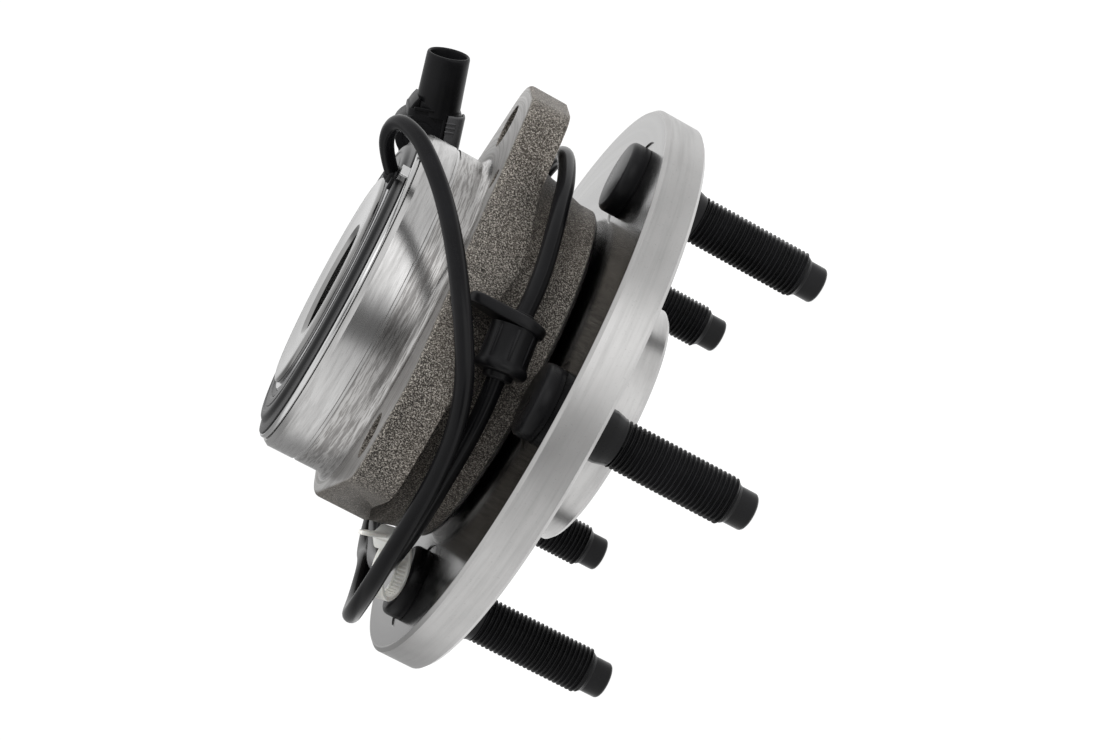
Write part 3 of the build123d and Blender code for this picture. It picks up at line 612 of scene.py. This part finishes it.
# ---------------------------------------------------------------- cable tie
tie_axis, tie_up = (0.608, 0.2157, -0.7641), (-0.0682, 0.9725, 0.2203)
t_m = frame_matrix((41.77, -62.19, 24.39), tie_up, tie_axis)
bm = bmesh.new()
RX, RY, T, W = 9.0, 7.1, 1.2, 4.3
steps, teeth = 44 * 4, 44


def strap_section(phase):
    """Cross-section of the strap: smooth back, two rails, teeth between them. (depth under the back, height)"""
    tooth = (0.42, 0.42, 0.12, 0.0)[phase % 4]
    return [(0.25, -W / 2), (0, -W / 2 + 0.3), (0, W / 2 - 0.3), (0.25, W / 2), (T - 0.1, W / 2), (T, W / 2 - 0.15), (T, W / 2 - 0.75),
            (T - 0.35 + tooth * 0.8, W / 2 - 0.9), (T - 0.35 + tooth * 0.8, -W / 2 + 0.9), (T, -W / 2 + 0.75), (T, -W / 2 + 0.15), (T - 0.1, -W / 2)]


rows = []
for k in range(steps):
    a = 2 * math.pi * k / steps
    row = []
    nrm = Vector((RY * math.cos(a), RX * math.sin(a))).normalized()
    for d, z in strap_section(k):
        row.append(bm.verts.new(t_m @ Vector(((RX * math.cos(a) - nrm.x * d) * MM, (RY * math.sin(a) - nrm.y * d) * MM, z * MM))))
    rows.append(row)
for k in range(steps):
    a, b = rows[k], rows[(k + 1) % steps]
    for j in range(len(a)):
        bm.faces.new((a[j], a[(j + 1) % len(a)], b[(j + 1) % len(a)], b[j]))
# head: rounded box with its slot lip, and the cut-off end
h_m = t_m @ Matrix.Translation((8.6 * MM, 6.6 * MM, 0)) @ Matrix.Rotation(math.radians(36), 4, "Z")
add_prism(bm, rrect(5.6, 5.8, 1.3), -3.0, 3.0, h_m, 0.8, 4)
add_prism(bm, rrect(1.0, 4.4, 0.45, 2.5, 0), -2.3, 2.3, h_m, 0.5, 3)
add_prism(bm, rrect(2.6, 0.9, 0.4, 0.2, 2.8), -2.4, 2.4, h_m, 0.3, 3)
tail_m = t_m @ Matrix.Translation((9.4 * MM, 14.6 * MM, 0)) @ Matrix.Rotation(math.radians(90), 4, "Z")
# the strap end tapers to a blunt point
pts = [(-6.2, -2.05), (3.4, -2.05), (5.4, -1.2), (6.2, -0.5), (6.2, 0.5), (5.4, 1.2), (3.4, 2.05), (-6.2, 2.05)]
flat = tail_m @ Matrix(((1, 0, 0, 0), (0, 0, -1, 0), (0, 1, 0, 0), (0, 0, 0, 1)))
add_prism(bm, pts, -0.55, 0.55, flat, 0.2, 2)
for k in range(9):
    add_prism(bm, rrect(0.5, 2.4, 0.15, -4.6 + 0.95 * k, 0), 0.4, 0.6, flat, 0.08, 2)
tie = from_bm("loose_tie", bm, tie_nylon, 40, 0)
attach(tie, "housing")
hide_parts("cable_tie")

# ---------------------------------------------------------------- wheel studs with real threads
THREAD_TOP, THREAD_END, PITCH = -8.4, -45.3, 1.411


def stud_radius_limit(z):
    """Radius of the blank at a height: full 7.12 mm, with a chamfer before the dog point."""
    if z > THREAD_TOP - 1.2:
        return 7.12
    if z < -43.9:
        return 7.12 - (-43.9 - z) * 0.95
    return 7.12


def add_thread(bm, m, seg=56):
    prof = [(7.12, 0.0), (7.12, 0.19), (6.31, 0.66), (6.26, 0.80), (6.31, 0.94), (7.12, 1.411)]
    turns = int((THREAD_TOP - THREAD_END) / PITCH)
    rows = []
    for i in range(turns * seg + 1):
        a = 2 * math.pi * i / seg
        row = []
        for r, dz in prof:
            z = THREAD_TOP - PITCH * i / seg - dz
            # the first turn grows out of the shank
            grow = min(1.0, (i + dz / PITCH * seg) / (seg * 1.2))
            rr = min(7.12 - (7.12 - r) * grow, stud_radius_limit(z))
            row.append(bm.verts.new(m @ Vector((rr * math.cos(a) * MM, rr * math.sin(a) * MM, z * MM))))
        rows.append(row)
    for a, b in zip(rows, rows[1:]):
        for j in range(len(prof) - 1):
            bm.faces.new((a[j], b[j], b[j + 1], a[j + 1]))


bm = bmesh.new()
for k in range(5):
    a = 2 * math.pi * k / 5
    m = Matrix.Translation((69.85 * math.cos(a) * MM, 69.85 * math.sin(a) * MM, 0)) @ Matrix.Rotation(a + 0.7 * k, 4, "Z")
    add_thread(bm, m)
    head = [(0, 17.84), (9.5, 17.84), (10.1, 17.72), (10.55, 17.4), (10.85, 16.9), (11.0, 16.3), (11.0, 12.75), (10.85, 12.5), (10.6, 12.44), (8.0, 12.44), (8.0, 0.5), (7.9, 0.4), (7.9, -5.6), (7.75, -6.1), (7.4, -7.6), (7.14, -8.2), (7.12, -8.7), (6.65, -9.6),
            (6.2, -10.4), (6.2, -44.6), (5.9, -45.3), (5.6, -45.7), (5.6, -50.4), (5.45, -50.8), (5.1, -51.2), (4.5, -51.5), (3.4, -51.7), (0, -51.7)]
    add_revolve(bm, head, 64, m, False)
studs = from_bm("threaded_studs", bm, stud_black, 32, 0)
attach(studs, "hub")
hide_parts("wheel_studs")

# ---------------------------------------------------------------- turned and pressed parts, from their own solids
for node, name, mat, body in (
        ("wheel_hub", "hub_forging", hub_steel, "hub"),
        ("wheel_nose", "nose_turned", hub_steel, "hub"),
        ("knuckle_flange", "flange_forging", ring_casting, "housing"),
        ("outer_ring", "ring_forging", ring_casting, "housing")):
    o = soft_copy(node, name, mat, 28)
    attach(o, body)
    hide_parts(node)


def revolved(name, profile, mat, node, body, seg=192, sharp=35):
    b = bmesh.new()
    add_revolve(b, profile, seg)
    o = from_bm(name, b, mat, sharp, 0)
    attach(o, body)
    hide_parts(node)
    return o


# pressed cap with a rolled rim
revolved("pressed_cap", [(45.4, 66.4), (46.4, 66.4), (46.4, 69.68), (46.7, 69.74), (49.6, 69.74), (49.95, 69.82), (50.2, 70.02), (50.3, 70.3), (50.3, 70.9), (50.2, 71.15), (50.0, 71.32), (49.75, 71.4), (45.4, 71.4)],
         cap_steel, "sensor_cap", "housing")
revolved("sensor_ring_moulding", [(45.4, 66.4), (45.4, 71.4), (49.3, 71.42), (49.5, 71.5), (49.55, 71.65), (49.4, 71.85), (48.6, 72.05), (47.0, 72.35), (46.4, 72.5), (46.05, 72.8), (45.7, 73.2), (45.2, 73.55), (44.6, 73.75), (44.0, 73.8),
                                  (43.2, 73.8), (42.95, 73.6), (41.7, 73.6), (41.45, 73.8), (39.5, 73.8), (38.8, 73.7), (38.4, 73.45), (38.2, 73.1), (38.2, 72.4), (39.6, 72.4), (39.6, 72.0),
                                  (44.0, 72.0), (44.0, 67.6), (39.2, 67.6), (39.2, 66.4)], sensor_moulding, "sensor_ring", "housing")

# moulded outlet: block, saddle and collar round the lead
ea = math.radians(57.0)
o_m = frame_matrix((42 * math.cos(ea), 42 * math.sin(ea), 73.6), (math.cos(ea), math.sin(ea), 0), (0, 0, 1))
bm = bmesh.new()
add_prism(bm, rrect(4.8, 9.0, 2.0, -0.4, 0), 0.0, 1.15, o_m, 0.45, 4, 0)
add_prism(bm, rrect(4.2, 6.0, 1.6, -0.4, 1.2), 0.9, 2.15, o_m, 0.6, 4, 0)
# collar the lead comes out of
d0, d1 = Vector(route[0]), Vector(route[1])
n_m = frame_matrix(tuple(c / MM for c in route[0]), (math.cos(ea), math.sin(ea), 0), tuple(d1 - d0))
add_revolve(bm, [(0.0, -0.7), (2.75, -0.7), (2.75, 0.5), (2.6, 0.9), (2.3, 1.1), (0.0, 1.1)], 40, n_m, False)
outlet = from_bm("outlet_block", bm, sensor_moulding, 38, 0)
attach(outlet, "housing")
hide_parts("lead_outlet")

for node, mat in (("inner_ring", bearing_steel), ("outboard_balls", bearing_steel), ("inboard_balls", bearing_steel), ("outboard_cage", cage_nylon), ("inboard_cage", cage_nylon),
                  ("outboard_seal_case", seal_steel), ("outboard_seal_lip", seal_rubber), ("sensor_coil", copper_coil), ("inboard_seal_lip", seal_rubber), ("tone_ring", tone_steel),
                  ("outlet_tabs", tab_steel), ("connector_seal", seal_rubber)):
    d = N[node].data
    d.materials.clear()
    d.materials.append(mat.m)

# ---------------------------------------------------------------- floor and light
bm = bmesh.new()
# a round pale table just larger than the part, so the turned faces mirror the studio past its edge
bm.faces.new([bm.verts.new((0.27 * math.cos(2 * math.pi * k / 96), 0.27 * math.sin(2 * math.pi * k / 96), 0)) for k in range(96)])
floor_mat = Mat("floor")
fn = floor_mat.noise(3.0, 4, 0.5)
floor_mat.link(floor_mat.mix(floor_mat.ramp(fn, [(0.3, 0.0), (0.7, 1.0)]), (0.10, 0.10, 0.10), (0.12, 0.12, 0.12)), floor_mat.b.inputs["Base Color"])
floor_mat.set(Roughness=0.9)
floor_mat.b.inputs["Emission Color"].default_value = (1.0, 1.0, 1.0, 1)
floor_mat.b.inputs["Emission Strength"].default_value = 1.0
floor_mat.b.inputs["Specular IOR Level"].default_value = 0.1
floor = from_bm("floor", bm, floor_mat, 0, 0)
floor.location = (0, 0, cad_lo.z - 0.0002)

world = bpy.data.worlds.new("studio")
bpy.context.scene.world = world
world.use_nodes = True
wt = world.node_tree
wt.nodes.clear()
wo = wt.nodes.new("ShaderNodeOutputWorld")
bg = wt.nodes.new("ShaderNodeBackground")
bgc = wt.nodes.new("ShaderNodeBackground")
bgc.inputs[0].default_value = (1, 1, 1, 1)
bgc.inputs[1].default_value = 1.05
lp = wt.nodes.new("ShaderNodeLightPath")
mx = wt.nodes.new("ShaderNodeMixShader")
wt.links.new(lp.outputs["Is Camera Ray"], mx.inputs[0])
wt.links.new(bg.outputs[0], mx.inputs[1])
wt.links.new(bgc.outputs[0], mx.inputs[2])
wt.links.new(mx.outputs[0], wo.inputs[0])
tc = wt.nodes.new("ShaderNodeTexCoord")


def w_dot(d):
    n = wt.nodes.new("ShaderNodeVectorMath")
    n.operation = "DOT_PRODUCT"
    nn = wt.nodes.new("ShaderNodeVectorMath")
    nn.operation = "NORMALIZE"
    wt.links.new(tc.outputs["Generated"], nn.inputs[0])
    wt.links.new(nn.outputs[0], n.inputs[0])
    n.inputs[1].default_value = Vector(d).normalized()
    return n.outputs["Value"]


def w_map(v, a, b, c, d):
    n = wt.nodes.new("ShaderNodeMapRange")
    n.interpolation_type = "SMOOTHSTEP"
    for i, x in enumerate((a, b, c, d)):
        n.inputs[i + 1].default_value = x
    wt.links.new(v, n.inputs[0])
    return n.outputs[0]


def w_mul(a, b, op="MULTIPLY"):
    n = wt.nodes.new("ShaderNodeMath")
    n.operation = op
    for i, x in enumerate((a, b)):
        if isinstance(x, float):
            n.inputs[i].default_value = x
        else:
            wt.links.new(x, n.inputs[i])
    return n.outputs[0]


# white tent with a dim side behind the camera and one dark card low on that side
level = w_map(w_dot((0.98, 0.03, 0.18)), 0.35, 0.98, 0.95, 0.62)
card = w_map(w_dot((0.96, -0.22, -0.18)), 0.955, 0.985, 1.0, 0.10)
far = w_map(w_dot((-0.75, -0.62, 0.20)), 0.75, 0.95, 1.0, 0.35)
bright = w_map(w_dot((0.86, 0.48, -0.12)), 0.90, 0.985, 1.0, 2.3)
above = w_map(w_dot((0.10, 0.95, 0.10)), 0.60, 0.95, 1.0, 0.74)
wt.links.new(w_mul(w_mul(w_mul(level, card), w_mul(bright, above)), far), bg.inputs[1])
bg.inputs[0].default_value = (1.0, 1.0, 1.0, 1)


def area(name, loc, target, size, power, size_y=None):
    d = bpy.data.lights.new(name, "AREA")
    d.energy = power
    d.size = size
    if size_y:
        d.shape = "RECTANGLE"
        d.size_y = size_y
    o = bpy.data.objects.new(name, d)
    bpy.context.scene.collection.objects.link(o)
    o.location = loc
    o.rotation_mode = "QUATERNION"
    o.rotation_quaternion = (Vector(target) - Vector(loc)).to_track_quat("-Z", "Y")
    o.visible_glossy = False
    return o


# image up is mostly +Y here: a large soft light from above and behind the lens, a fill, and a square side light for
# the turned faces
area("key", (0.55, 0.75, 0.45), (0, 0, 0.02), 0.5, 8.0)
area("fill", (0.35, -0.6, 0.55), (0, 0, 0.02), 0.6, 3.0)
area("side", (0.1, 0.4, -0.045 + 0.6), (0, 0, 0.0), 0.5, 4.0)

bpy.context.scene.view_settings.view_transform = "Standard"
bpy.context.scene.view_settings.look = "None"

bpy.context.view_layer.update()
